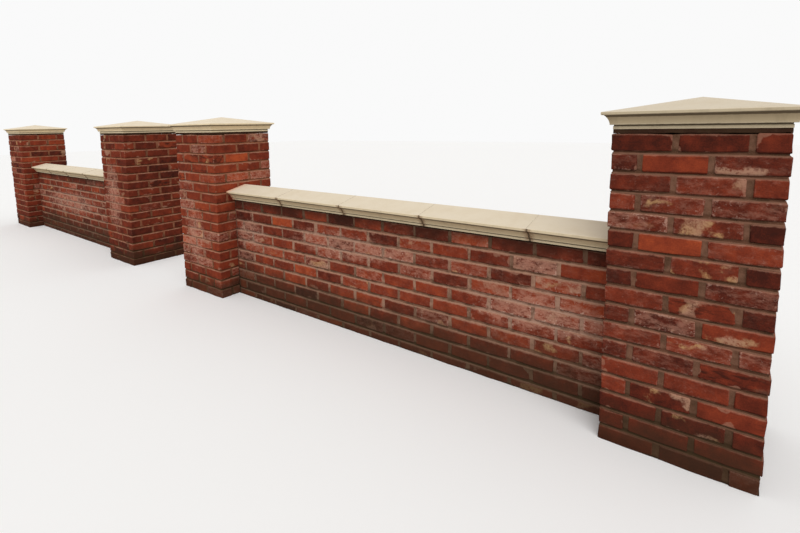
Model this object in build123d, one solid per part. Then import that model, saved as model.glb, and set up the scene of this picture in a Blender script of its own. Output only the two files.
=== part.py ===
"""Brick garden wall: four square piers, two low panels with copings, and a gateway between the middle piers.

Millimetres, +Z up, foot of the wall at Z = 0, street side at -Y, origin at the middle of the whole run.
"""
import os
from math import ceil

from build123d import *

# Brickwork
brick_height = 65.0
pier_bed_joint = 13.0
pier_courses = 17
panel_bed_joint = 17.0
panel_courses = 9        # whole courses of a panel
foot_course = 44.0       # cut course at the foot of a panel

# Plan
pier_side = 550.0        # two and a half bricks
left_panel_length = 2650.0
right_panel_length = 2800.0
panel_thickness = 220.0  # one brick
gateway = 970.0

# Moulding of caps and copings, measured inwards from the outer edge and upwards from the underside
lip_shadow = 15.0        # outer edge to the head of the hollow
hollow_depth = 4.0       # how far the hollow bows in
hollow_height = 30.0
fillet_height = 3.0      # small upright face at the foot of the hollow
band_step = 11.0         # foot of the hollow in to the band
band_height = 12.0
quirk_height = 5.0       # groove between the band and the fillet
quirk_depth = 2.0        # groove back from the band
soffit_fall = 6.0        # fall of the lip's underside to the hollow
drip_inset = 5.0         # outer edge to the drip groove
drip_width = 4.0
drip_depth = 3.0
lip_round = 3.0          # eased arrises of the lip

# Caps
cap_overhang = 34.0      # outer edge beyond the shaft
cap_hollow_run = 13.0    # how far the hollow carries the cap out
cap_lip = 12.0
cap_rise = 55.0          # lip to the point
cap_bed = 17.0

# Copings
coping_width = 355.0
coping_hollow_run = 25.0
coping_lip = 14.0
coping_rise = 40.0       # lip to the ridge
coping_bed = 8.0
stone_length = 600.0
stone_joint = 9.0
least_stone = 150.0      # shortest stone worth cutting
least_stones = 5         # to a panel

# Mortar
bed_recess = 6.0         # bed back from the face of the brickwork
joint_inset = 4.0        # upright joint back from the moulded face of the stones
joint_sunk = 0.8         # upright joint below the weathered top

# Heights and places that follow
shaft_top = pier_courses * (brick_height + pier_bed_joint) - pier_bed_joint
panel_top = foot_course + panel_courses * (brick_height + panel_bed_joint)
cap_side = pier_side + 2 * cap_overhang
total_length = 4 * pier_side + left_panel_length + gateway + right_panel_length
left_panel_start = -total_length / 2 + pier_side
gateway_start = left_panel_start + left_panel_length + pier_side
right_panel_start = gateway_start + gateway + pier_side
pier_starts = (
    -total_length / 2,
    gateway_start - pier_side,
    gateway_start + gateway,
    right_panel_start + right_panel_length,
)
panels = {
    "left": (left_panel_start, left_panel_length),
    "right": (right_panel_start, right_panel_length),
}
on_top = (Align.CENTER, Align.CENTER, Align.MIN)


def moulding(width, hollow_run, lip, rise, inset=0.0, sunk=0.0):
    """Right half of a section: underside, band, quirk, fillet, hollow, drip groove, lip and weathered top."""
    edge = width / 2 - inset
    head = edge - lip_shadow
    foot = head - hollow_run
    band = foot - band_step
    quirk = band - quirk_depth
    quirk_top = band_height + quirk_height
    ledge = quirk_top + fillet_height
    hollow_top = ledge + hollow_height
    lip_low = hollow_top + soffit_fall
    slope = rise / (width / 2)
    lip_high = lip_low + lip + slope * inset - sunk
    ridge = lip_low + lip + rise - sunk
    drip = edge - drip_inset
    bow = ((foot + head - hollow_depth) / 2, ledge + (hollow_height + hollow_depth) / 2)
    lines = Polyline((0, 0), (band, 0), (band, band_height), (quirk, band_height))
    lines += Polyline((quirk, band_height), (quirk, quirk_top), (foot, quirk_top), (foot, ledge))
    lines += ThreePointArc((foot, ledge), bow, (head, hollow_top))
    lines += Polyline((head, hollow_top), (drip - drip_width, lip_low), (drip - drip_width, lip_low + drip_depth))
    lines += Polyline((drip - drip_width, lip_low + drip_depth), (drip, lip_low + drip_depth), (drip, lip_low))
    lines += Polyline((drip, lip_low), (edge, lip_low), (edge, lip_high), (0, ridge), (0, 0))
    return make_face(lines)


def section(width, hollow_run, lip, rise, inset=0.0, sunk=0.0):
    """Whole section, standing in the XZ plane, with the arrises of the lip eased."""
    half = moulding(width, hollow_run, lip, rise, inset, sunk)
    whole = half + mirror(half, Plane.YZ)
    edge = width / 2 - inset
    arrises = [v for v in whole.vertices() if abs(abs(v.X) - edge) < drip_inset / 2]
    return Plane.XZ * fillet(arrises, lip_round)


def coping_run(start, length, inset=0.0, sunk=0.0):
    """Coping section carried along X."""
    run = section(coping_width, coping_hollow_run, coping_lip, coping_rise, inset, sunk)
    bar = extrude(run, amount=length / 2, both=True)
    return Pos(start + length / 2, 0, panel_top + coping_bed) * Rot(0, 0, 90) * bar


def build_shaft(start):
    return Pos(start + pier_side / 2, 0, 0) * Box(pier_side, pier_side, shaft_top, align=on_top)


def build_cap_bed(start):
    side = pier_side - 2 * bed_recess
    return Pos(start + pier_side / 2, 0, shaft_top) * Box(side, side, cap_bed, align=on_top)


def build_cap(start):
    """Two moulded runs crossed, so that the corners mitre and the top is a low pyramid."""
    run = extrude(section(cap_side, cap_hollow_run, cap_lip, cap_rise), amount=cap_side / 2, both=True)
    cap = run & (Rot(0, 0, 90) * run)
    return Pos(start + pier_side / 2, 0, shaft_top + cap_bed) * cap


def build_panel(start, length):
    return Pos(start + length / 2, 0, 0) * Box(length, panel_thickness, panel_top, align=on_top)


def stone_spans(length):
    """Start and length of each coping stone: whole stones, then one cut to what is left.

    Where too little is left for the last stone, the others are cut shorter by the same amount.
    """
    count = max(least_stones, ceil((length + stone_joint) / (stone_length + stone_joint)))
    stone = min(stone_length, (length - least_stone) / (count - 1) - stone_joint)
    spans = [(n * (stone + stone_joint), stone) for n in range(count - 1)]
    last = (count - 1) * (stone + stone_joint)
    spans.append((last, length - last))
    return spans


def build_coping_mortar(start, length):
    """The bed under the stones, with the upright joints between them."""
    width = panel_thickness - 2 * bed_recess
    bed = Box(length, width, coping_bed, align=on_top)
    mortar = Pos(start + length / 2, 0, panel_top) * bed
    for at, stone in stone_spans(length)[:-1]:
        mortar += coping_run(start + at + stone, stone_joint, joint_inset, joint_sunk)
    return mortar


def save(shape, node):
    export_step(shape, f"parts/{node}.step")


def main():
    os.makedirs("parts", exist_ok=True)
    for number, start in enumerate(pier_starts, 1):
        save(build_shaft(start), f"pier_{number}_shaft")
        save(build_cap_bed(start), f"pier_{number}_cap_bed")
        save(build_cap(start), f"pier_{number}_cap")
    for side, (start, length) in panels.items():
        save(build_panel(start, length), f"{side}_panel")
        save(build_coping_mortar(start, length), f"{side}_coping_mortar")
        for number, (at, stone) in enumerate(stone_spans(length), 1):
            save(coping_run(start + at, stone), f"{side}_coping_{number}")


main()
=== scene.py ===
import math
import random

import bmesh
import bpy
from mathutils import Euler, Matrix, Vector


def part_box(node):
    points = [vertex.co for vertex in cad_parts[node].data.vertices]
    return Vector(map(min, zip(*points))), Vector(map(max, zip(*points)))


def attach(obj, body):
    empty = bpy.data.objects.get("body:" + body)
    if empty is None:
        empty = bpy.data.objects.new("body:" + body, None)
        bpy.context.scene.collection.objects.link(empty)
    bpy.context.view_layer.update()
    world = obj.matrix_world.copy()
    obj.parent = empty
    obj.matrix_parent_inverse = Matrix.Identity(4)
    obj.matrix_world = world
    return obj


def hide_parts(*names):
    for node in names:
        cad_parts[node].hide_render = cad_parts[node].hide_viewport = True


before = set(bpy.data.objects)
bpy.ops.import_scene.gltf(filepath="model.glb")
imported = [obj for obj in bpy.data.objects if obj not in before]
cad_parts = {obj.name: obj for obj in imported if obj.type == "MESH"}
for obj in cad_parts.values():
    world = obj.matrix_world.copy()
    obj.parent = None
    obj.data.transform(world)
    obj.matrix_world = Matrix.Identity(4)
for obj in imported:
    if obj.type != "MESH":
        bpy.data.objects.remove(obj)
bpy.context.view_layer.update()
print("frame loaded")


# operators act on all that is selected, so pieces are picked one at a time
def deselectAll():
    bpy.ops.object.select_all(action="DESELECT")


def addNode(tree, kind, values=None, **settings):
    made = tree.nodes.new(kind)
    for name, value in settings.items():
        setattr(made, name, value)
    for socket, value in (values or {}).items():
        if isinstance(value, bpy.types.NodeSocket):
            tree.links.new(value, made.inputs[socket])
        else:
            made.inputs[socket].default_value = value
    return made


def math2(tree, operation, first, second=0.0):
    return addNode(tree, "ShaderNodeMath", {0: first, 1: second}, operation=operation).outputs[0]


def plus(tree, first, second):
    return math2(tree, "ADD", first, second)


def minus(tree, first, second):
    return math2(tree, "SUBTRACT", first, second)


def times(tree, first, second):
    return math2(tree, "MULTIPLY", first, second)


def larger(tree, first, second):
    return math2(tree, "MAXIMUM", first, second)


def smaller(tree, first, second):
    return math2(tree, "MINIMUM", first, second)


# a value from 0 to 1, made to swing about zero
def swing(tree, value, reach):
    return times(tree, minus(tree, value, 0.5), reach)


def vector2(tree, operation, first, second=(0, 0, 0)):
    return addNode(tree, "ShaderNodeVectorMath", {0: first, 1: second}, operation=operation).outputs[0]


def partOf(tree, vector, axis):
    return addNode(tree, "ShaderNodeSeparateXYZ", {0: vector}).outputs[axis]


def attributeOf(tree, name):
    return addNode(tree, "ShaderNodeAttribute", attribute_name=name).outputs


def noiseOf(tree, vector, scale, detail, roughness=0.55, distortion=0.0):
    values = {"Vector": vector, "Scale": scale, "Detail": detail}
    values |= {"Roughness": roughness, "Distortion": distortion}
    return addNode(tree, "ShaderNodeTexNoise", values).outputs[0]


def fade(tree, value, fromLow, fromHigh, toLow=0.0, toHigh=1.0):
    values = {"Value": value, "From Min": fromLow, "From Max": fromHigh, "To Min": toLow, "To Max": toHigh}
    made = addNode(tree, "ShaderNodeMapRange", values, interpolation_type="SMOOTHSTEP")
    return made.outputs["Result"]


# the other way round: most at start, nothing at end
def wane(tree, value, start, end, most=1.0):
    return fade(tree, value, start, end, most, 0.0)


def blend(tree, factor, under, over):
    under, over = (side if isinstance(side, bpy.types.NodeSocket) else (*side, 1) for side in (under, over))
    return addNode(tree, "ShaderNodeMix", {0: factor, 6: under, 7: over}, data_type="RGBA").outputs[2]


def stretched(tree, vector, x, y, z):
    return addNode(tree, "ShaderNodeMapping", {"Vector": vector, "Scale": (x, y, z)}).outputs[0]


def rampOf(tree, factor, stops):
    ramp = addNode(tree, "ShaderNodeValToRGB", {0: factor})
    bands = ramp.color_ramp.elements
    while len(bands) < len(stops):
        bands.new(0.5)
    for band, (place, colour) in zip(bands, stops):
        band.position = place
        band.color = (*colour, 1)
    return ramp.outputs["Color"]


def newGroup(name, ins, outs):
    group = bpy.data.node_groups.new(name, "ShaderNodeTree")
    for label, kind, value in ins:
        socket = group.interface.new_socket(name=label, in_out="INPUT", socket_type=kind)
        if value is not None:
            socket.default_value = value
    for label, kind in outs:
        group.interface.new_socket(name=label, in_out="OUTPUT", socket_type=kind)
    return group, addNode(group, "NodeGroupInput").outputs, addNode(group, "NodeGroupOutput").inputs


def useGroup(tree, group, values):
    return addNode(tree, "ShaderNodeGroup", values, node_tree=group).outputs


def newMaterial(name):
    material = bpy.data.materials.new(name)
    material.use_nodes = True
    tree = material.node_tree
    return material, tree, tree.nodes["Principled BSDF"]


def finishShader(tree, shader, finish, colour, relief):
    tree.links.new(colour, shader.inputs["Base Color"])
    shader.inputs["Roughness"].default_value = finish["roughness"]
    shader.inputs["Specular IOR Level"].default_value = finish["gloss"]
    bump = addNode(tree, "ShaderNodeBump", {"Height": relief, "Strength": 1.0, "Distance": finish["bump"]})
    tree.links.new(bump.outputs[0], shader.inputs["Normal"])


# shared effects
def makeGrain():
    ins = [
        ("Vector", "NodeSocketVector", None),
        ("Coarse", "NodeSocketFloat", 40.0),
        ("Fine", "NodeSocketFloat", 300.0),
    ]
    outs = [("Blotch", "NodeSocketFloat"), ("Grain", "NodeSocketFloat"), ("Height", "NodeSocketFloat")]
    group, given, result = newGroup("masonryGrain", ins, outs)
    blotch = noiseOf(group, given["Vector"], given["Coarse"], 5.0, 0.6, 0.15)
    grain = noiseOf(group, given["Vector"], given["Fine"], 3.0, 0.7)
    height = plus(group, times(group, blotch, 0.6), times(group, grain, 0.4))
    group.links.new(blotch, result["Blotch"])
    group.links.new(grain, result["Grain"])
    group.links.new(height, result["Height"])
    return group


def makeSplash():
    ins = [
        ("Vector", "NodeSocketVector", None),
        ("Reach", "NodeSocketFloat", 0.2),
        ("Ragged", "NodeSocketFloat", 0.12),
    ]
    group, given, result = newGroup("groundSplash", ins, [("Mask", "NodeSocketFloat")])
    height = partOf(group, given["Vector"], "Z")
    patchy = noiseOf(group, stretched(group, given["Vector"], 1, 1, 0.6), 5.0, 4.0, 0.6)
    lift = swing(group, patchy, given["Ragged"])
    line = plus(group, height, times(group, lift, 3.0))
    share = math2(group, "DIVIDE", line, given["Reach"])
    group.links.new(wane(group, share, 0.25, 1.0), result["Mask"])
    return group


# distance from the nearest arris of a brick: the middle one of the three distances to its sides
def makeArrisDistance():
    ins = [("Place", "NodeSocketVector", None), ("Span", "NodeSocketVector", None)]
    group, given, result = newGroup("arrisDistance", ins, [("Distance", "NodeSocketFloat")])
    gap = vector2(group, "SUBTRACT", given["Span"], vector2(group, "ABSOLUTE", given["Place"]))
    parts = addNode(group, "ShaderNodeSeparateXYZ", {0: gap}).outputs
    low = smaller(group, parts[0], parts[1])
    high = larger(group, parts[0], parts[1])
    middle = larger(group, low, smaller(group, high, parts[2]))
    group.links.new(middle, result["Distance"])
    return group


# a soft-edged patch on the wall, 1 in its middle
def makeWallPatch():
    ins = [(label, "NodeSocketVector", None) for label in ("Vector", "Middle", "Reach")]
    group, given, result = newGroup("wallPatch", ins, [("Mask", "NodeSocketFloat")])
    away = vector2(group, "DIVIDE", vector2(group, "SUBTRACT", given["Vector"], given["Middle"]), given["Reach"])
    distance = addNode(group, "ShaderNodeVectorMath", {0: away}, operation="LENGTH").outputs["Value"]
    ragged = swing(group, noiseOf(group, given["Vector"], 14.0, 4.0, 0.6), 0.9)
    group.links.new(wane(group, plus(group, distance, ragged), 0.35, 1.0), result["Mask"])
    return group


# distance along X from the nearest of a row of evenly spaced joints
def makeJointDistance():
    ins = [
        ("Vector", "NodeSocketVector", None),
        ("First", "NodeSocketFloat", 0.0),
        ("Pitch", "NodeSocketFloat", 0.6),
    ]
    group, given, result = newGroup("jointDistance", ins, [("Distance", "NodeSocketFloat")])
    along = partOf(group, given["Vector"], "X")
    turn = math2(group, "DIVIDE", minus(group, along, given["First"]), given["Pitch"])
    part = math2(group, "ABSOLUTE", minus(group, turn, math2(group, "ROUND", turn)))
    group.links.new(times(group, part, given["Pitch"]), result["Distance"])
    return group


masonryGrain = makeGrain()
groundSplash = makeSplash()
arrisDistance = makeArrisDistance()
wallPatch = makeWallPatch()
jointDistance = makeJointDistance()

brickFinish = {
    "tones": [
        (0.00, (0.060, 0.015, 0.010)),       # overburnt maroon
        (0.30, (0.140, 0.0255, 0.0136)),     # deep red
        (0.55, (0.225, 0.039, 0.0185)),      # red
        (0.80, (0.320, 0.057, 0.0230)),      # orange red
        (1.00, (0.450, 0.085, 0.0290)),      # underburnt orange
    ],
    "cream": (0.56, 0.33, 0.15),             # the two colours of old coating
    "lime": (0.50, 0.285, 0.19),
    # soot of the kiln; the same colour paints the shade along each brick's lower arris
    "soot": (0.030, 0.012, 0.009),
    "smear": (0.415, 0.208, 0.138),          # mortar left on the face
    "bloom": (0.57, 0.280, 0.198),           # a veil of salts
    "crust": (0.64, 0.400, 0.310),           # thicker salts
    "mud": (0.050, 0.026, 0.015),
    # damp stains, also used as painted shadow under the coping
    "dampAndShade": (0.045, 0.017, 0.011),
    "blotches": 1.00,                        # how far blotches and speckle shift the tone
    "speckle": 0.62,
    "sootShare": (0.25, 0.60),               # on every brick, and more on sooty ones
    "coatShare": 0.78,
    "bloomShare": 0.66,
    "crustShare": 0.85,
    "wetShare": 0.50,
    "shadedShare": 0.60,
    "mudShare": 0.80,
    "ragged": 0.018,                         # how far the edge of a mortar smear strays
    "roughness": 0.86,
    "gloss": 0.05,
    "bump": 0.0017,
}

# pale salts come out in patches of the front: middle and reach of each
saltPatches = [
    ((2.10, -0.10, 0.575), (0.62, 0.20, 0.13)),
    ((1.15, -0.10, 0.520), (0.26, 0.20, 0.16)),
    ((3.45, -0.10, 0.420), (0.50, 0.20, 0.16)),
    ((0.62, -0.27, 0.460), (0.19, 0.10, 0.34)),
    ((-0.90, -0.27, 0.680), (0.20, 0.10, 0.46)),
    ((-2.60, -0.10, 0.450), (1.20, 0.20, 0.20)),
]

# and here they pale only the joints
washedPatches = [
    ((-1.08, -0.20, 0.820), (0.20, 0.24, 0.46)),
    ((0.50, -0.27, 0.820), (0.22, 0.10, 0.40)),
]


# how salty each place of the wall is: as much as given, and more in the patches
def saltsOn(tree, wall, patches, salts):
    for middle, reach in patches:
        mask = useGroup(tree, wallPatch, {"Vector": wall, "Middle": middle, "Reach": reach})["Mask"]
        salts = larger(tree, salts, mask)
    return salts


# smeared is how much mortar is left on the upper arrises, splashed how high the mud reaches, veiled how much
# salt there is everywhere, the next how dark the painted shade along the lower arrises is, and the last gives
# the first coping joint, the pitch of the joints and the height of the panel, for damp leaking from the joints
# and for the painted shadow under the coping
def makeBrickFinish(name, smeared, splashed, veiled, undercutShade, leaksAndShade=None):
    material, tree, shader = newMaterial(name)
    cast = attributeOf(tree, "brickCast")
    fired, coated, sooty = addNode(tree, "ShaderNodeSeparateColor", {0: cast["Color"]}).outputs
    place = attributeOf(tree, "brickPlace")["Vector"]
    span = attributeOf(tree, "brickSpan")["Vector"]
    wall = addNode(tree, "ShaderNodeTexCoord").outputs["Object"]
    own = vector2(tree, "ADD", place, attributeOf(tree, "brickSeed")["Vector"])

    grain = useGroup(tree, masonryGrain, {"Vector": own, "Coarse": 17.0, "Fine": 230.0})
    tone = plus(tree, fired, swing(tree, grain["Blotch"], brickFinish["blotches"]))
    tone = plus(tree, tone, swing(tree, grain["Grain"], brickFinish["speckle"]))
    colour = rampOf(tree, tone, brickFinish["tones"])

    # kiln soot and creases, drawn out along the brick
    creases = noiseOf(tree, stretched(tree, own, 1, 2, 4), 10.0, 5.0, 0.68, 0.35)
    least, more = brickFinish["sootShare"]
    sootLine = fade(tree, plus(tree, creases, times(tree, sooty, 0.14)), 0.56, 0.72)
    sootShare = times(tree, sootLine, plus(tree, times(tree, sooty, more), least))
    colour = blend(tree, sootShare, colour, brickFinish["soot"])

    # old coating left on reclaimed bricks: one ragged patch, broken up by the grain
    patch = noiseOf(tree, stretched(tree, own, 1, 1.2, 1.5), 10.0, 1.0)
    outline = swing(tree, noiseOf(tree, own, 45.0, 4.0, 0.7), 0.26)
    threshold = plus(tree, plus(tree, patch, outline), times(tree, coated, 0.15))
    broken = noiseOf(tree, own, 85.0, 4.0, 0.7)
    coat = times(tree, fade(tree, threshold, 0.645, 0.745), fade(tree, broken, 0.28, 0.56))
    coat = times(tree, coat, fade(tree, coated, 0.0, 0.4))
    kind = noiseOf(tree, own, 5.0, 1.0)
    coatColour = blend(tree, fade(tree, kind, 0.42, 0.58), brickFinish["cream"], brickFinish["lime"])
    colour = blend(tree, times(tree, coat, brickFinish["coatShare"]), colour, coatColour)

    # pale salts, as a veil and a crust near the arrises, on single bricks and in patches of the wall
    cloud = saltsOn(tree, wall, saltPatches, larger(tree, cast["Alpha"], veiled))
    film = noiseOf(tree, stretched(tree, wall, 1, 1, 2.1), 23.0, 7.0, 0.80)
    salts = fade(tree, plus(tree, film, times(tree, cloud, 0.10)), 0.47, 0.67)
    salts = times(tree, salts, times(tree, cloud, brickFinish["bloomShare"]))
    colour = blend(tree, salts, colour, brickFinish["bloom"])
    distance = useGroup(tree, arrisDistance, {"Place": place, "Span": span})["Distance"]
    rim = wane(tree, distance, 0.0, 0.016, 0.10)
    crust = fade(tree, plus(tree, noiseOf(tree, wall, 60.0, 6.0, 0.75), rim), 0.58, 0.66)
    crust = times(tree, crust, times(tree, cloud, brickFinish["crustShare"]))
    colour = blend(tree, crust, colour, brickFinish["crust"])

    # mortar left on the upper arris, and a little on the others
    ragged = swing(tree, noiseOf(tree, wall, 34.0, 5.0, 0.75), brickFinish["ragged"])
    daub = minus(tree, noiseOf(tree, wall, 8.0, 3.0, 0.6), 0.41)
    daub = smaller(tree, times(tree, daub, 0.16), 0.0)
    reached = plus(tree, plus(tree, distance, ragged), daub)
    around = wane(tree, reached, 0.0, 0.0045, 0.52)
    around = times(tree, around, fade(tree, broken, 0.22, 0.52, 0.35, 1.0))
    up, half = partOf(tree, place, "Z"), partOf(tree, span, "Z")
    fromTop = plus(tree, minus(tree, half, up), ragged)
    above = times(tree, wane(tree, fromTop, 0.002, 0.0095), smeared)
    # painted shade along each brick's lower arris, in the soot's colour
    fromFoot = plus(tree, plus(tree, half, up), ragged)
    lowerArrisShade = times(tree, wane(tree, fromFoot, 0.001, 0.0110), undercutShade)
    colour = blend(tree, lowerArrisShade, colour, brickFinish["soot"])
    smear = larger(tree, around, above)
    colour = blend(tree, smear, colour, brickFinish["smear"])

    if leaksAndShade:
        first, pitch, top = leaksAndShade
        drop = minus(tree, top, partOf(tree, wall, "Z"))
        drift = swing(tree, noiseOf(tree, wall, 7.0, 4.0, 0.6), 0.25)
        side = useGroup(tree, jointDistance, {"Vector": wall, "First": first, "Pitch": pitch})["Distance"]
        wet = wane(tree, plus(tree, side, drift), 0.05, 0.17)
        wet = times(tree, wet, wane(tree, drop, 0.066, 0.088))
        colour = blend(tree, times(tree, wet, brickFinish["wetShare"]), colour, brickFinish["dampAndShade"])
        # painted shadow of the coping on the top course, darkest just under it
        shaded = times(tree, wane(tree, drop, 0.0, 0.075), brickFinish["shadedShare"])
        shaded = larger(tree, shaded, wane(tree, drop, 0.003, 0.014, 0.8))
        colour = blend(tree, shaded, colour, brickFinish["dampAndShade"])

    splash = useGroup(tree, groundSplash, {"Vector": wall, "Reach": splashed, "Ragged": 0.12})["Mask"]
    colour = blend(tree, times(tree, splash, brickFinish["mudShare"]), colour, brickFinish["mud"])
    relief = plus(tree, grain["Height"], times(tree, creases, 0.9))
    relief = plus(tree, relief, times(tree, plus(tree, coat, smear), 0.3))
    finishShader(tree, shader, brickFinish, colour, relief)
    return material


mortarFinish = {
    "dark": (0.190, 0.088, 0.053),
    "light": (0.325, 0.168, 0.110),
    "grit": (0.42, 0.25, 0.17),
    "washed": (0.52, 0.320, 0.245),
    "mud": (0.046, 0.029, 0.014),
    # damp and dirt, also painted as shade deep in the joints and under the coping
    "dampAndShade": (0.060, 0.034, 0.018),
    "gritShare": 0.6,
    "topDampAndShadeShare": 0.72,
    "splashed": 0.34,      # how high the mud reaches
    "roughness": 0.95,
    "gloss": 0.06,
    "bump": 0.0016,
}


# the attribute read below is 1 where the joint is flush and painted as lit, 0 where it is deep and painted in
# shade;
# warmth takes green and blue out of the tints, and top is the height of a top course darkened by damp and by
# painted shadow under the coping
def makeMortarFinish(name, shade, warmth=0.0, top=None):
    material, tree, shader = newMaterial(name)
    wall = addNode(tree, "ShaderNodeTexCoord").outputs["Object"]
    flushAndLit = attributeOf(tree, "flushAndLit")["Fac"]
    grain = useGroup(tree, masonryGrain, {"Vector": wall, "Coarse": 42.0, "Fine": 420.0})
    drift = noiseOf(tree, wall, 3.5, 3.0, 0.6)
    mix = plus(tree, times(tree, grain["Blotch"], 0.75), times(tree, drift, 0.25))
    # painted light on the flush ledge, painted shade deep under the upper brick
    mix = plus(tree, mix, swing(tree, flushAndLit, 0.30))
    fall = (shade, shade * (1 - warmth), shade * (1 - 1.6 * warmth))
    dark, light = (
        [part * less for part, less in zip(mortarFinish[tint], fall)] for tint in ("dark", "light")
    )
    colour = blend(tree, fade(tree, mix, 0.34, 0.66), dark, light)
    # dirt and painted shade, most in the deep parts of the joint
    dirtAndShade = fade(tree, noiseOf(tree, wall, 11.0, 4.0, 0.6), 0.44, 0.60)
    dirtAndShade = times(tree, dirtAndShade, fade(tree, flushAndLit, 0.55, 1.0, 0.62, 0.10))
    colour = blend(tree, dirtAndShade, colour, mortarFinish["dampAndShade"])
    washed = saltsOn(tree, wall, saltPatches + washedPatches, 0.0)
    washed = times(tree, washed, fade(tree, grain["Blotch"], 0.36, 0.56, 0.12, 0.50))
    colour = blend(tree, washed, colour, mortarFinish["washed"])
    sand = times(tree, fade(tree, grain["Grain"], 0.56, 0.72), mortarFinish["gritShare"] * shade)
    colour = blend(tree, sand, colour, mortarFinish["grit"])
    # the top course darkened by damp and by painted shadow under the coping
    if top:
        drop = minus(tree, top, partOf(tree, wall, "Z"))
        dampAndShade = wane(tree, drop, 0.062, 0.076, mortarFinish["topDampAndShadeShare"])
        colour = blend(tree, dampAndShade, colour, mortarFinish["dampAndShade"])
    reach = mortarFinish["splashed"]
    splash = useGroup(tree, groundSplash, {"Vector": wall, "Reach": reach, "Ragged": 0.10})["Mask"]
    splash = times(tree, splash, fade(tree, flushAndLit, 0.0, 1.0, 0.95, 0.72))
    colour = blend(tree, splash, colour, mortarFinish["mud"])
    finishShader(tree, shader, mortarFinish, colour, grain["Height"])
    return material


stoneFinish = {
    "pale": (0.80, 0.695, 0.535),
    "buff": (0.75, 0.635, 0.465),
    "side": (0.86, 0.710, 0.470),
    "hollow": (0.82, 0.650, 0.400),
    # grime, also used as painted shade in the moulding's creases
    "grimeAndShade": (0.090, 0.060, 0.030),
    "rust": (0.230, 0.105, 0.045),
    "brickDust": (0.780, 0.400, 0.235),
    # the coping's bed mortar, painted near black for the shadow under the coping
    "bed": (0.045, 0.028, 0.018),
    "creaseShare": 0.80,
    "stainShare": 0.20,
    "rustShare": 0.65,
    "dustShare": 0.7,
    "roughness": 0.80,
    "gloss": 0.5,
    "bump": 0.0004,
    "quirk": (0.011, 0.018),      # heights of the moulding above the underside
    "drip": (0.047, 0.056),
    "hollowFoot": (0.018, 0.026),
    "hollowHead": (0.050, 0.056),
    # how soft the edges of the painted shade and grime in the creases are
    "softness": 0.001,            # of the grime's edges
}


# underside is the height of the stone's bed, worn darkens the top, and the next factor scales the moulding's
# tints, for dirt and for painted light and shade; joints are the first joint and the pitch of the stones, and
# dusty is where the pier stands
def makeStoneFinish(name, underside, worn, mouldingLightAndDirt, joints=None, dusty=None):
    material, tree, shader = newMaterial(name)
    wall = addNode(tree, "ShaderNodeTexCoord").outputs["Object"]
    grain = useGroup(tree, masonryGrain, {"Vector": wall, "Coarse": 9.0, "Fine": 700.0})
    share = plus(tree, times(tree, grain["Blotch"], 0.7), times(tree, grain["Grain"], 0.3))
    pale, buff = ([part * worn for part in stoneFinish[tint]] for tint in ("pale", "buff"))
    side, hollow = ([part * mouldingLightAndDirt for part in stoneFinish[tint]] for tint in ("side", "hollow"))
    colour = blend(tree, fade(tree, share, 0.40, 0.72), pale, buff)

    # the moulding is less bleached than the top, most of all in the hollow; its warmer tints also paint the warm
    # light bounced into its shade
    facing = addNode(tree, "ShaderNodeNewGeometry").outputs["Normal"]
    upright = wane(tree, partOf(tree, facing, "Z"), 0.35, 0.80)
    level = minus(tree, partOf(tree, wall, "Z"), underside)
    inHollow = fade(tree, level, *stoneFinish["hollowFoot"])
    inHollow = times(tree, inHollow, wane(tree, level, *stoneFinish["hollowHead"]))
    colour = blend(tree, times(tree, upright, 0.9), colour, blend(tree, inHollow, side, hollow))

    # the quirk and the underside of the lip are painted dark, as shade with grime, and rain carries grime down
    ragged = minus(tree, noiseOf(tree, wall, 55.0, 4.0, 0.7), 0.5)
    line = plus(tree, level, times(tree, ragged, 0.004))
    creaseGrimeAndShade = 0.0
    soft = stoneFinish["softness"]
    for low, high in (stoneFinish["quirk"], stoneFinish["drip"]):
        within = fade(tree, line, low - soft, low + soft)
        within = times(tree, within, wane(tree, line, high - soft, high + soft))
        creaseGrimeAndShade = larger(tree, creaseGrimeAndShade, within)
    creaseGrimeAndShade = times(tree, creaseGrimeAndShade, times(tree, upright, stoneFinish["creaseShare"]))
    run = noiseOf(tree, stretched(tree, wall, 1, 1, 0.15), 15.0, 5.0, 0.65)
    stain = times(tree, fade(tree, run, 0.48, 0.76), times(tree, upright, stoneFinish["stainShare"]))
    colour = blend(tree, larger(tree, stain, creaseGrimeAndShade), colour, stoneFinish["grimeAndShade"])
    if joints:
        first, pitch = joints
        gap = useGroup(tree, jointDistance, {"Vector": wall, "First": first, "Pitch": pitch})["Distance"]
        spread = plus(tree, gap, times(tree, ragged, 0.06))
        blot = wane(tree, spread, 0.004, 0.034)
        blot = times(tree, blot, times(tree, upright, stoneFinish["rustShare"]))
        colour = blend(tree, blot, colour, stoneFinish["rust"])
        edge = plus(tree, times(tree, upright, 0.70), 0.03)
        edge = times(tree, wane(tree, gap, 0.003, 0.007), edge)
        colour = blend(tree, edge, colour, stoneFinish["grimeAndShade"])
    if dusty is not None:      # dust of the cut bricks, rubbed into the stone beside the pier
        near = minus(tree, partOf(tree, wall, "X"), dusty)
        near = plus(tree, near, times(tree, ragged, 0.10))
        dust = times(tree, wane(tree, near, 0.0, 0.055), stoneFinish["dustShare"])
        colour = blend(tree, dust, colour, stoneFinish["brickDust"])
    pores = fade(tree, noiseOf(tree, wall, 420.0, 2.0, 0.8), 0.64, 0.74)
    colour = blend(tree, times(tree, pores, 0.25), colour, stoneFinish["grimeAndShade"])
    # painted shadow: the bed mortar under the stone is near black
    colour = blend(tree, wane(tree, level, -0.002, -0.001), colour, stoneFinish["bed"])
    relief = minus(tree, grain["Height"], times(tree, pores, 0.5))
    finishShader(tree, shader, stoneFinish, colour, relief)
    return material


copingStones = {
    "length": 0.600,
    "pitch": 0.609,      # a stone and its joint
}

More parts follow.
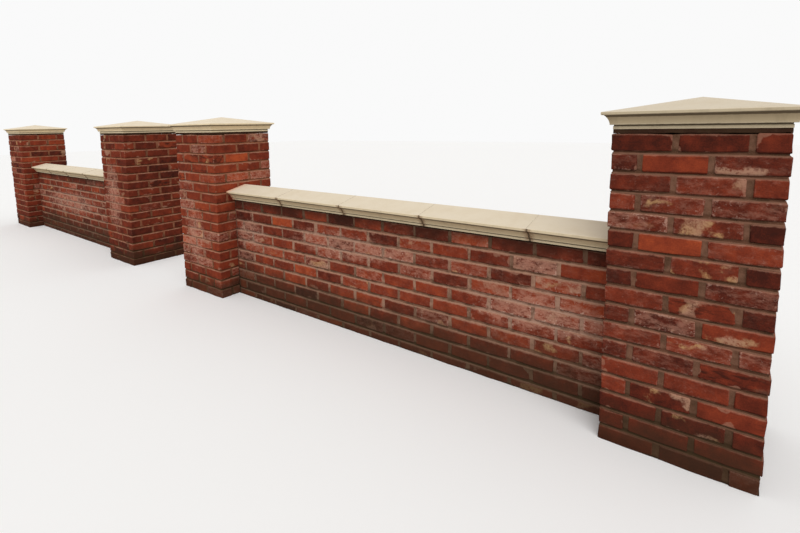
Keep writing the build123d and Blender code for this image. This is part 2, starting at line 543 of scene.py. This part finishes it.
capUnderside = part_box("pier_1_cap")[0][2]
jointMortar = makeMortarFinish("jointMortar", shade=1.08, warmth=0.22)
panelMortar = makeMortarFinish("panelMortar", shade=1.32, warmth=-0.10, top=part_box("right_panel")[1][2])
nearJointMortar = makeMortarFinish("nearJointMortar", shade=0.68, warmth=0.04)
# the cap's bed mortar painted very dark for the shadow under the cap's overhang
shadedBedMortar = makeMortarFinish("shadedBedMortar", shade=0.24)
pierBrick = makeBrickFinish("pierBrick", smeared=1.0, splashed=0.21, veiled=0.03, undercutShade=0.10)
nearPierBrick = makeBrickFinish("nearPierBrick", smeared=0.50, splashed=0.25, veiled=0.0, undercutShade=0.50)
# painted light on the far caps' moulding, and painted shade with dirt on the near cap's
stoneFinishes = {
    "cap": makeStoneFinish("capStone", capUnderside, worn=1.0, mouldingLightAndDirt=1.14),
    "nearCap": makeStoneFinish("nearCapStone", capUnderside, worn=0.82, mouldingLightAndDirt=0.68),
}
panelBricks = {}
for name in ("left", "right"):
    low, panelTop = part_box(f"{name}_coping_1")[0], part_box(f"{name}_panel")[1][2]
    joints = (low[0] + (copingStones["length"] + copingStones["pitch"]) / 2, copingStones["pitch"])
    stoneFinishes[name] = makeStoneFinish(f"{name}CopingStone", low[2], 0.93, 0.90, joints, dusty=low[0])
    panelBricks[name] = makeBrickFinish(f"{name}PanelBrick", 0.95, 0.37, 0.14, 0.50, (*joints, panelTop))
print("finishes made")


# bricks: each size is modelled a few times over and then copied
brickMaking = {
    "arris": 0.0052,      # rounded by handling and weather
    "wander": 0.0021,     # how far corners and arrises stray
    "rounding": 0.0018,   # how far each corner is worn back along each side
    "cornerReach": 0.014,
    "chip": 0.0013,       # how much further a knocked corner is
    "shapes": 8,          # different bricks of each size
    "halfLength": 0.15,   # a shorter brick is a cut one
    "recess": 0.0009,     # face back from the true face of the wall
    "tilt": 0.0060,       # radians
    "shift": 0.0013,
}


def modelBlock(name, low, high):
    deselectAll()
    bpy.ops.mesh.primitive_cube_add(size=1, location=(low + high) / 2, scale=high - low)
    block = bpy.context.object
    block.name = name
    bpy.ops.object.transform_apply(location=True, rotation=False, scale=True)
    bpy.ops.object.mode_set(mode="EDIT")
    return block


# picks some of the points, or the edges, of the piece in hand
def pick(piece, kind, wanted):
    bpy.ops.mesh.select_mode(type=kind)
    bpy.ops.mesh.select_all(action="DESELECT")
    mesh = bmesh.from_edit_mesh(piece.data)
    for part in mesh.verts if kind == "VERT" else mesh.edges:
        part.select_set(wanted(part))
    bmesh.update_edit_mesh(piece.data)


def cutAcross(place, facing):
    bpy.ops.mesh.select_all(action="SELECT")
    bpy.ops.mesh.bisect(plane_co=place, plane_no=facing)


def modelBrick(name, size, seed):
    brick = modelBlock(name, -Vector(size) / 2, Vector(size) / 2)
    bpy.ops.mesh.select_mode(type="EDGE")
    bpy.ops.mesh.select_all(action="SELECT")
    bpy.ops.mesh.bevel(offset=brickMaking["arris"], segments=2, affect="EDGES")
    if size[0] > brickMaking["halfLength"]:      # so that a long face can sag a little
        cutAcross((0, 0, 0), (1, 0, 0))
    bpy.ops.mesh.select_all(action="SELECT")
    bpy.ops.transform.vertex_random(offset=brickMaking["wander"], uniform=1.0, normal=0.0, seed=seed)
    for turn in range(8):      # corners are rounder than arrises, and some are knocked off
        corner = Vector([part / 2 if turn >> axis & 1 else -part / 2 for axis, part in enumerate(size)])
        worn = brickMaking["rounding"] + (brickMaking["chip"] if (seed + 3 * turn) % 5 == 0 else 0)
        pick(brick, "VERT", lambda point: (point.co - corner).length < brickMaking["cornerReach"])
        bpy.ops.transform.translate(value=Vector([-math.copysign(worn, part) for part in corner]))
    bpy.ops.object.mode_set(mode="OBJECT")
    bpy.ops.object.shade_smooth()
    bpy.ops.object.modifier_add(type="WEIGHTED_NORMAL")
    bpy.ops.object.modifier_apply(modifier=brick.modifiers[0].name)
    return brick


def modelBricks(name, size):
    return [modelBrick(f"{name}{n}", size, n + 1) for n in range(brickMaking["shapes"])]


brickFiring = {
    "tones": (0.10, 0.30, 0.46, 0.60, 0.80),      # from overburnt to underburnt
    "shares": (8, 28, 38, 19, 7),
    "stray": 0.08,
    "middle": 0.46,
    "coated": 0.20,      # share of the bricks with some old coating, and with soot
    "sooty": 0.12,
}


# what a brick is like: tone, coating, soot and salts, each from 0 to 1; spread is how much the tones differ
def fireBrick(chance, spread, lighter, salts):
    middle, stray = brickFiring["middle"], brickFiring["stray"]
    tone = chance.choices(brickFiring["tones"], brickFiring["shares"])[0] + chance.uniform(-stray, stray)
    tone = middle + (tone - middle) * spread
    coating = chance.uniform(0.2, 0.7) if chance.random() < brickFiring["coated"] else 0.0
    soot = chance.uniform(0.3, 0.9) if chance.random() < brickFiring["sooty"] else 0.0
    bloom = chance.uniform(0.3, 1.0) if chance.random() < salts else 0.0
    return tone + lighter, coating, soot, bloom


# nothing stands out past the wall's true faces
def keepInside(piece, low, high):
    for vertex in piece.data.vertices:
        for axis in range(3):
            vertex.co[axis] = min(max(vertex.co[axis], low[axis]), high[axis])


def layBrick(shape, size, centre, turn, cast, chance):
    copy = shape.copy()
    copy.data = shape.data.copy()
    bpy.context.collection.objects.link(copy)
    mesh = copy.data
    fit = Matrix.Diagonal([part / own for part, own in zip(size, shape.dimensions)] + [1])
    flip = Matrix.Rotation(chance.choice((0, math.pi)), 4, "Z")
    flip @= Matrix.Rotation(chance.choice((0, math.pi)), 4, "X")
    mesh.transform(fit @ flip)
    count = len(mesh.vertices)
    marks = {
        "brickPlace": [part for vertex in mesh.vertices for part in vertex.co],
        "brickSpan": [part / 2 for part in size] * count,
        "brickSeed": [chance.uniform(0, 90) for axis in range(3)] * count,
    }
    for label, flat in marks.items():
        mesh.attributes.new(label, "FLOAT_VECTOR", "POINT").data.foreach_set("vector", flat)
    mesh.attributes.new("brickCast", "FLOAT_COLOR", "POINT").data.foreach_set("color", list(cast) * count)
    tilt = [chance.uniform(-1, 1) * brickMaking["tilt"] for axis in range(3)]
    slip = Vector([chance.uniform(-1, 1) * brickMaking["shift"] for axis in range(3)])
    slip[1 if abs(math.cos(turn)) > 0.5 else 0] *= 0.5      # less in and out of the wall
    lie = Euler((tilt[0], tilt[1], turn + tilt[2])).to_matrix().to_4x4()
    mesh.transform(Matrix.Translation(Vector(centre) + slip) @ lie)
    return copy


def joinBricks(name, bricks, node, finish):
    low, high = (Vector(corner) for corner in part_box(node))
    deselectAll()
    for brick in bricks:
        brick.select_set(True)
    bpy.context.view_layer.objects.active = bricks[0]
    bpy.ops.object.join()
    piece = bpy.context.object
    piece.name = name
    keepInside(piece, low, high)
    piece.data.materials.clear()
    piece.data.materials.append(finish)
    return piece


# mortar: one body behind the brick faces, struck back under each course
mortarMaking = {
    "perpend": 0.0072,      # how far each part of the joints stands back
    "ledge": 0.0056,        # on top of the lower brick
    "shadow": 0.0088,       # under the upper brick
    "foot": 0.0040,         # where the joints are filled up from the ground
    # painted light and shade: the flush ledge rows lit, the deep rows under each brick shaded
    "flushAndLit": {"perpend": 0.70, "ledge": 1.2, "shadow": -0.1, "foot": 0.5},
    "perpendDrop": 0.006,   # rows of points, from the top of the lower brick
    "ledgeRise": 0.001,
    "shadowRise": 0.004,    # from the foot of the upper brick
    "perpendRise": 0.014,
    "footRise": 0.012,      # from the ground
    "rowReach": 0.0005,     # how near a point is to its row
    "lift": 0.002,          # clear of the ground and of the top
    "drop": 0.004,
    "step": 0.011,          # between points along the wall
    "rough": 0.0030,
    "lumps": 0.024,
}


# cuts up the edges that run along one axis
def cutEdgesAlong(piece, axis, cuts):
    def runsAlong(edge):
        along = edge.verts[1].co - edge.verts[0].co
        return abs(along[axis]) > 0.9 * along.length

    pick(piece, "EDGE", runsAlong)
    bpy.ops.mesh.subdivide(number_cuts=cuts)


def modelMortar(name, node, beds, sides, finish):
    low, high = (Vector(corner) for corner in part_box(node))
    low.z += mortarMaking["lift"]
    high.z -= mortarMaking["drop"]
    size = high - low
    piece = modelBlock(name, low, high)
    bpy.ops.mesh.select_mode(type="VERT")
    rows = {"perpend": [low.z + mortarMaking["footRise"], high.z], "ledge": [], "shadow": [], "foot": [low.z]}
    for under, over in beds:
        rows["perpend"] += [under - mortarMaking["perpendDrop"], over + mortarMaking["perpendRise"]]
        rows["ledge"].append(under + mortarMaking["ledgeRise"])
        rows["shadow"] += [(under + over) / 2, over + mortarMaking["shadowRise"]]
    margin = 2 * mortarMaking["rowReach"]
    for height in sorted(sum(rows.values(), [])):
        if low.z + margin < height < high.z - margin:
            cutAcross((0, 0, height), (0, 0, 1))
    for axis in sides:
        cutEdgesAlong(piece, axis, int(size[axis] / mortarMaking["step"]))

    def inRows(point, heights):
        return any(abs(point.co.z - row) < mortarMaking["rowReach"] for row in heights)

    for part, heights in rows.items():
        pick(piece, "VERT", lambda point: inRows(point, heights))
        back = 2 * mortarMaking[part]
        shrink = (1 - back / size.x if 1 in sides else 1, 1 - back / size.y, 1)
        bpy.ops.transform.resize(value=shrink, center_override=(low + high) / 2)
    bpy.ops.object.mode_set(mode="OBJECT")
    # how flush each point is, which the finish paints as light and shade
    layer = piece.data.attributes.new("flushAndLit", "FLOAT", "POINT")
    for point, mark in zip(piece.data.vertices, layer.data):
        near = [part for part, heights in rows.items() if inRows(point, heights)]
        mark.value = mortarMaking["flushAndLit"][near[0]]
    roughen(piece, mortarMaking["rough"])
    piece.data.materials.append(finish)
    return piece


def roughen(piece, strength):
    texture = bpy.data.textures.new(piece.name + "Lumps", "CLOUDS")
    texture.noise_scale = mortarMaking["lumps"]
    texture.noise_depth = 2
    bpy.ops.object.modifier_add(type="DISPLACE")
    rough = piece.modifiers[0]
    rough.texture = texture
    rough.texture_coords = "LOCAL"
    rough.strength = strength
    bpy.ops.object.modifier_apply(modifier=rough.name)
    bpy.ops.object.shade_smooth()


# the bed squeezed out under a cap
beddingMaking = {
    "rowPitch": 0.005,
    "cuts": 50,
    "rough": 0.011,
}


def modelBedding(name, node):
    low, high = (Vector(corner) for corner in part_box(node))
    piece = modelBlock(name, low, high)
    for number in (-1, 0, 1):
        cutAcross((0, 0, (low.z + high.z) / 2 + number * beddingMaking["rowPitch"]), (0, 0, 1))
    for axis in (0, 1):
        cutEdgesAlong(piece, axis, beddingMaking["cuts"])
    bpy.ops.object.mode_set(mode="OBJECT")
    roughen(piece, beddingMaking["rough"])
    keepInside(piece, low, high)
    piece.data.materials.append(shadedBedMortar)
    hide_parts(node)
    return piece


pierBond = {
    "side": 0.550,
    "stretcher": 0.211,
    "header": 0.097,
    "height": 0.0705,
    "bed": 0.0075,
    "courses": 17,
    "lengthPlay": (-0.002, 0.002),
    "heightPlay": (-0.002, 0.001),
    "headerFirst": {3},       # piers whose top course starts with a header, seen from outside
    "spread": 0.72,
    "tint": {1: -0.02, 2: -0.05, 3: 0.16, 4: -0.09},
    # painted shadow under the cap on the top courses of pier 3
    "capShadowTint": {3: -0.14},    # of the two top courses
    "salts": {1: 0.06, 2: 0.06, 3: 0.30, 4: 0.10},
    "markedTint": -0.07,      # of the near pier's sides that show
}

# bricks of the near pier's front, listed by course from the top and place from the left
markedBricks = {
    (1, 0): (0.20, 0.0, 0.2, 0.0), (1, 1): (0.25, 0.0, 0.2, 0.0), (1, 2): (0.33, 0.0, 0.0, 0.0),
    (2, 0): (0.20, 0.0, 0.0, 0.2), (2, 1): (0.64, 0.0, 0.2, 0.0), (2, 2): (0.28, 0.55, 0.0, 0.2),
    (3, 0): (0.36, 0.0, 0.0, 0.1), (3, 1): (0.46, 0.3, 0.0, 0.3), (3, 2): (0.46, 0.0, 0.0, 0.1),
    (4, 0): (0.62, 0.0, 0.0, 0.2), (4, 1): (0.34, 0.4, 0.0, 0.35), (4, 2): (0.30, 0.1, 0.0, 0.4),
    (5, 0): (0.36, 0.1, 0.0, 0.6), (5, 1): (0.40, 0.6, 0.0, 0.2), (5, 2): (0.12, 0.0, 0.2, 0.0),
    (6, 0): (0.25, 0.0, 0.2, 0.0), (6, 1): (0.84, 0.0, 0.3, 0.0), (6, 2): (0.60, 0.0, 0.0, 0.2),
    (7, 0): (0.38, 0.0, 0.4, 0.1), (7, 1): (0.50, 0.7, 0.0, 0.1), (7, 2): (0.20, 0.0, 0.2, 0.0),
    (8, 0): (0.14, 0.0, 0.2, 0.1), (8, 1): (0.42, 0.0, 0.0, 0.0), (8, 2): (0.26, 0.0, 0.2, 0.4),
    (9, 0): (0.52, 0.0, 0.0, 0.2), (9, 1): (0.52, 0.7, 0.6, 0.0), (9, 2): (0.24, 0.0, 0.0, 0.1),
    (10, 0): (0.34, 0.0, 0.0, 0.2), (10, 1): (0.24, 0.4, 0.0, 0.6), (10, 2): (0.60, 0.55, 0.0, 0.0),
    (11, 0): (0.42, 0.0, 0.0, 0.3), (11, 1): (0.58, 0.55, 0.3, 0.4), (11, 2): (0.42, 0.0, 0.0, 0.5),
    (12, 0): (0.30, 0.0, 0.0, 0.2), (12, 1): (0.30, 0.0, 0.2, 0.3), (12, 2): (0.46, 0.1, 0.8, 0.0),
    (13, 0): (0.58, 0.0, 0.0, 0.1), (13, 1): (0.52, 0.0, 0.0, 0.1), (13, 2): (0.44, 0.0, 0.0, 0.0),
    (14, 0): (0.60, 0.0, 0.0, 0.1), (14, 1): (0.30, 0.75, 0.2, 0.0), (14, 2): (0.56, 0.0, 0.0, 0.0),
    (15, 2): (0.28, 0.0, 0.2, 0.0),
}


def buildPier(number, shapes):
    node = f"pier_{number}_shaft"
    low, high = (Vector(corner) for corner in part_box(node))
    middle = (low + high) / 2
    chance = random.Random(100 + number)
    reach = pierBond["side"] / 2
    length, depth, height = pierBond["stretcher"], pierBond["header"], pierBond["height"]
    perpend = (pierBond["side"] - 2 * length - depth) / 2
    pitch = height + pierBond["bed"]
    bricks, beds = [], []
    for course in range(1, pierBond["courses"] + 1):
        top = high.z - (course - 1) * pitch
        beds.append((top, top + pierBond["bed"]))
        mirrored = (course % 2 == 0) != (number in pierBond["headerFirst"])
        for side in range(4):
            for place in range(2):
                x = -reach + length / 2 + place * (length + perpend)
                y = -reach + depth / 2 + brickMaking["recess"]
                sign = -1 if mirrored else 1
                spot = Matrix.Rotation(side * math.pi / 2, 3, "Z") @ Vector((x * sign, y, 0))
                lighter = pierBond["tint"][number]
                # the two top courses are painted darker for the cap's shadow
                if course <= 2:
                    lighter += pierBond["capShadowTint"].get(number, 0.0)
                cast = fireBrick(chance, pierBond["spread"], lighter, pierBond["salts"][number])
                seen = {0: 2 - place if mirrored else place}      # sides that show, and the place from the left
                if place == 0:
                    seen[3 if mirrored else 1] = 0 if mirrored else 2
                if number == 4 and side in seen:
                    tone, *others = markedBricks.get((course, seen[side]), cast)
                    cast = (tone + pierBond["markedTint"], *others)
                brickLength = length + chance.uniform(*pierBond["lengthPlay"])
                size = (brickLength, depth, height + chance.uniform(*pierBond["heightPlay"]))
                centre = (middle.x + spot.x, middle.y + spot.y, top - height / 2)
                bricks.append(layBrick(chance.choice(shapes), size, centre, side * math.pi / 2, cast, chance))
    brickFace, jointFace = (nearPierBrick, nearJointMortar) if number == 4 else (pierBrick, jointMortar)
    brickwork = joinBricks(f"pier_{number}_bricks", bricks, node, brickFace)
    mortar = modelMortar(f"pier_{number}_joints", node, beds, (0, 1), jointFace)
    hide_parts(node)
    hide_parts(node)
    return brickwork, mortar


panelBond = {
    "stretcher": 0.216,       # as modelled, before each is fitted to its place
    "half": 0.100,
    "depth": 0.102,
    "height": 0.070,
    "bed": 0.012,
    "courses": 9,
    "foot": 0.044,
    "sideJoint": 0.012,
    "perpend": 0.015,
    "lengthPlay": (-0.003, 0.003),
    "heightPlay": (-0.003, 0.001),
    "leastEnd": 0.03,         # nothing shorter is laid at the end of a course
    "spread": 0.90,
    "tint": 0.06,
    "salts": 0.22,
    "pitch": {"left": 0.232, "right": 0.2342},
    "firstJoint": {"left": 0.232, "right": 0.2285},
}

# bricks of the right panel's front that stand out, by course from the top and place from the left
markedPanelBricks = {
    (1, 0): (0.50, 0.0, 0.0, 0.2), (1, 1): (0.40, 0.0, 0.2, 0.2), (1, 2): (0.38, 0.0, 0.0, 0.0),
    (1, 3): (0.26, 0.0, 0.0, 0.0), (1, 5): (0.05, 0.0, 0.5, 0.0), (1, 6): (0.62, 0.0, 0.3, 0.0),
    (1, 7): (0.44, 0.0, 0.2, 0.2), (1, 8): (0.32, 0.0, 0.0, 0.0), (1, 9): (0.80, 0.1, 0.2, 0.5),
    (1, 10): (0.40, 0.0, 0.0, 0.0), (1, 11): (0.42, 0.0, 0.0, 0.0), (1, 12): (0.16, 0.0, 0.0, 0.0),
    (2, 2): (0.90, 0.0, 0.0, 0.0), (2, 4): (0.62, 0.0, 0.0, 0.0), (2, 7): (0.62, 0.25, 0.0, 0.4),
    (2, 10): (0.16, 0.0, 0.0, 1.0), (2, 11): (0.66, 0.0, 0.0, 0.0), (3, 1): (0.22, 0.0, 0.0, 0.2),
    (3, 5): (0.20, 0.0, 0.0, 1.0), (3, 6): (0.55, 0.3, 0.0, 1.0), (3, 7): (0.50, 0.4, 0.0, 1.0),
    (3, 8): (0.40, 0.0, 0.2, 0.3), (3, 9): (0.60, 0.3, 0.0, 0.5), (3, 10): (0.18, 0.0, 0.0, 0.2),
    (3, 11): (0.74, 0.4, 0.0, 0.5), (4, 9): (0.72, 0.2, 0.0, 0.3), (5, 1): (0.66, 0.2, 0.0, 0.4),
    (5, 2): (0.80, 0.2, 0.0, 0.4), (5, 4): (0.34, 0.8, 0.0, 0.6), (5, 8): (0.64, 0.0, 0.0, 0.0),
    (6, 3): (0.84, 0.0, 0.0, 0.2), (6, 5): (0.70, 0.5, 0.0, 0.4), (6, 6): (0.60, 0.0, 0.0, 0.1),
    (7, 5): (0.70, 0.0, 0.3, 0.0), (7, 6): (0.80, 0.0, 0.2, 0.0), (7, 9): (0.62, 0.0, 0.0, 0.0),
    (7, 11): (0.50, 1.0, 0.0, 0.2), (8, 3): (0.10, 0.0, 0.6, 0.0), (8, 8): (0.60, 0.4, 0.2, 0.0),
}


def buildPanel(name, shapes, halves):
    node = f"{name}_panel"
    low, high = (Vector(corner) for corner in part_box(node))
    chance = random.Random(name + "Panel")
    pitch, perpend = panelBond["pitch"][name], panelBond["perpend"]
    rise = panelBond["height"] + panelBond["bed"]
    bricks, beds = [], []
    for course in range(1, panelBond["courses"] + 2):
        top = high.z - (course - 1) * rise
        height = panelBond["height"] if course <= panelBond["courses"] else panelBond["foot"]
        beds.append((top, top + panelBond["bed"]))
        for face in (-1, 1):
            y = face * (high.y - panelBond["depth"] / 2 - brickMaking["recess"])
            turn = 0 if face < 0 else math.pi
            start, placed = low.x + panelBond["sideJoint"], 0
            nextJoint = low.x + panelBond["firstJoint"][name] - (pitch / 2 if course % 2 else 0)
            while start < high.x - panelBond["leastEnd"]:
                length = min(nextJoint - perpend, high.x - panelBond["sideJoint"]) - start
                brickLength = length + chance.uniform(*panelBond["lengthPlay"])
                size = (brickLength, panelBond["depth"], height + chance.uniform(*panelBond["heightPlay"]))
                shape = chance.choice(shapes if length > brickMaking["halfLength"] else halves)
                cast = fireBrick(chance, panelBond["spread"], panelBond["tint"], panelBond["salts"])
                if name == "right" and face < 0:
                    cast = markedPanelBricks.get((course, placed), cast)
                centre = (start + length / 2 + chance.uniform(*panelBond["lengthPlay"]), y, top - height / 2)
                bricks.append(layBrick(shape, size, centre, turn, cast, chance))
                start, placed = nextJoint, placed + 1
                nextJoint += pitch
    brickwork = joinBricks(f"{name}_panel_bricks", bricks, node, panelBricks[name])
    mortar = modelMortar(f"{name}_panel_joints", node, beds, (0,), panelMortar)
    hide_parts(node)
    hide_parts(node)
    return brickwork, mortar


pierShapes = modelBricks("pierBrick", (pierBond["stretcher"], pierBond["header"], pierBond["height"]))
panelShapes = modelBricks("panelBrick", (panelBond["stretcher"], panelBond["depth"], panelBond["height"]))
halfShapes = modelBricks("halfBrick", (panelBond["half"], panelBond["depth"], panelBond["height"]))
print("bricks modelled")

masonry = []
for number in range(1, 5):
    masonry += buildPier(number, pierShapes)
    print(f"pier {number} built")
for name in ("left", "right"):
    masonry += buildPanel(name, panelShapes, halfShapes)
    print(f"{name} panel built")
bedding = [modelBedding(f"pier_{number}_bedding", f"pier_{number}_cap_bed") for number in range(1, 5)]
for shape in pierShapes + panelShapes + halfShapes:
    bpy.data.objects.remove(shape)
for piece in masonry + bedding:
    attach(piece, "root")

# cast stone and the coping's mortar keep their own solids and take a finish
for node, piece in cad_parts.items():
    if node.endswith("_cap"):
        finish = stoneFinishes["nearCap" if node.startswith("pier_4") else "cap"]
    elif "_coping_" in node:
        finish = stoneFinishes[node.split("_")[0]]
    else:
        continue
    for slot in piece.material_slots:
        slot.material = finish
print("stone and bedding finished")


stageSetting = {
    "floorSeen": (0.95, 0.95, 0.95),
    "floorBounce": (0.38, 0.36, 0.34),
    "backdrop": (0.955, 0.955, 0.955),
    "sky": (1.0, 0.985, 0.96),
    "skyStrength": 0.60,
    "sunStrength": 1.60,
    "sunAngle": 60,       # degrees across, so shadows stay soft
    "sunAim": (-0.50, 0.78, -1.0),
}


def setStage():
    deselectAll()
    bpy.ops.mesh.primitive_plane_add(size=60, location=(0, 0, 0))
    floor = bpy.context.object
    floor.name = "floor"
    material, tree, shader = newMaterial("paleFloor")
    ray = addNode(tree, "ShaderNodeLightPath").outputs["Is Camera Ray"]
    colour = blend(tree, ray, stageSetting["floorBounce"], stageSetting["floorSeen"])
    tree.links.new(colour, shader.inputs["Base Color"])
    shader.inputs["Roughness"].default_value = 1.0
    floor.data.materials.append(material)

    world = bpy.data.worlds.new("softSky")
    bpy.context.scene.world = world
    world.use_nodes = True
    tree = world.node_tree
    paths = addNode(tree, "ShaderNodeLightPath").outputs
    seen = larger(tree, paths["Is Camera Ray"], paths["Is Glossy Ray"])
    seen = larger(tree, seen, paths["Is Transmission Ray"])
    sky = tree.nodes["Background"]
    colour = blend(tree, seen, stageSetting["sky"], stageSetting["backdrop"])
    strength = addNode(tree, "ShaderNodeMix", {0: seen, 2: stageSetting["skyStrength"], 3: 1.0}).outputs[0]
    tree.links.new(colour, sky.inputs["Color"])
    tree.links.new(strength, sky.inputs["Strength"])

    deselectAll()
    bpy.ops.object.light_add(type="SUN", location=(0, 0, 4))
    lamp = bpy.context.object
    lamp.name = "softSun"
    lamp.data.energy = stageSetting["sunStrength"]
    lamp.data.angle = math.radians(stageSetting["sunAngle"])
    lamp.rotation_euler = Vector(stageSetting["sunAim"]).to_track_quat("-Z", "Y").to_euler()


# the camera stands in front of the near pier; the view is cropped off centre
cameraSetting = {
    "place": (4.1835, -2.3243, 1.3616),
    "yaw": 0.6712,
    "pitch": 0.1283,
    "roll": -0.0177,
    "focalPixels": 466.48,
    "centre": (-24.59, -80.97),      # pixels from the middle of the picture
    "width": 800,
    "sensor": 36,      # mm
}


def setCamera():
    deselectAll()
    bpy.ops.object.camera_add(location=cameraSetting["place"])
    camera = bpy.context.object
    turn = Euler((math.pi / 2 - cameraSetting["pitch"], 0, cameraSetting["yaw"])).to_matrix()
    camera.rotation_euler = (turn @ Matrix.Rotation(cameraSetting["roll"], 3, "Z")).to_euler()
    across, down = cameraSetting["centre"]
    width, sensor = cameraSetting["width"], cameraSetting["sensor"]
    camera.data.sensor_width = sensor
    camera.data.lens = sensor * cameraSetting["focalPixels"] / width
    camera.data.shift_x = -across / width
    camera.data.shift_y = down / width
    camera.data.clip_end = 200
    bpy.context.scene.camera = camera


setStage()
setCamera()
bpy.context.scene.view_settings.view_transform = "Standard"
print("stage and camera set")
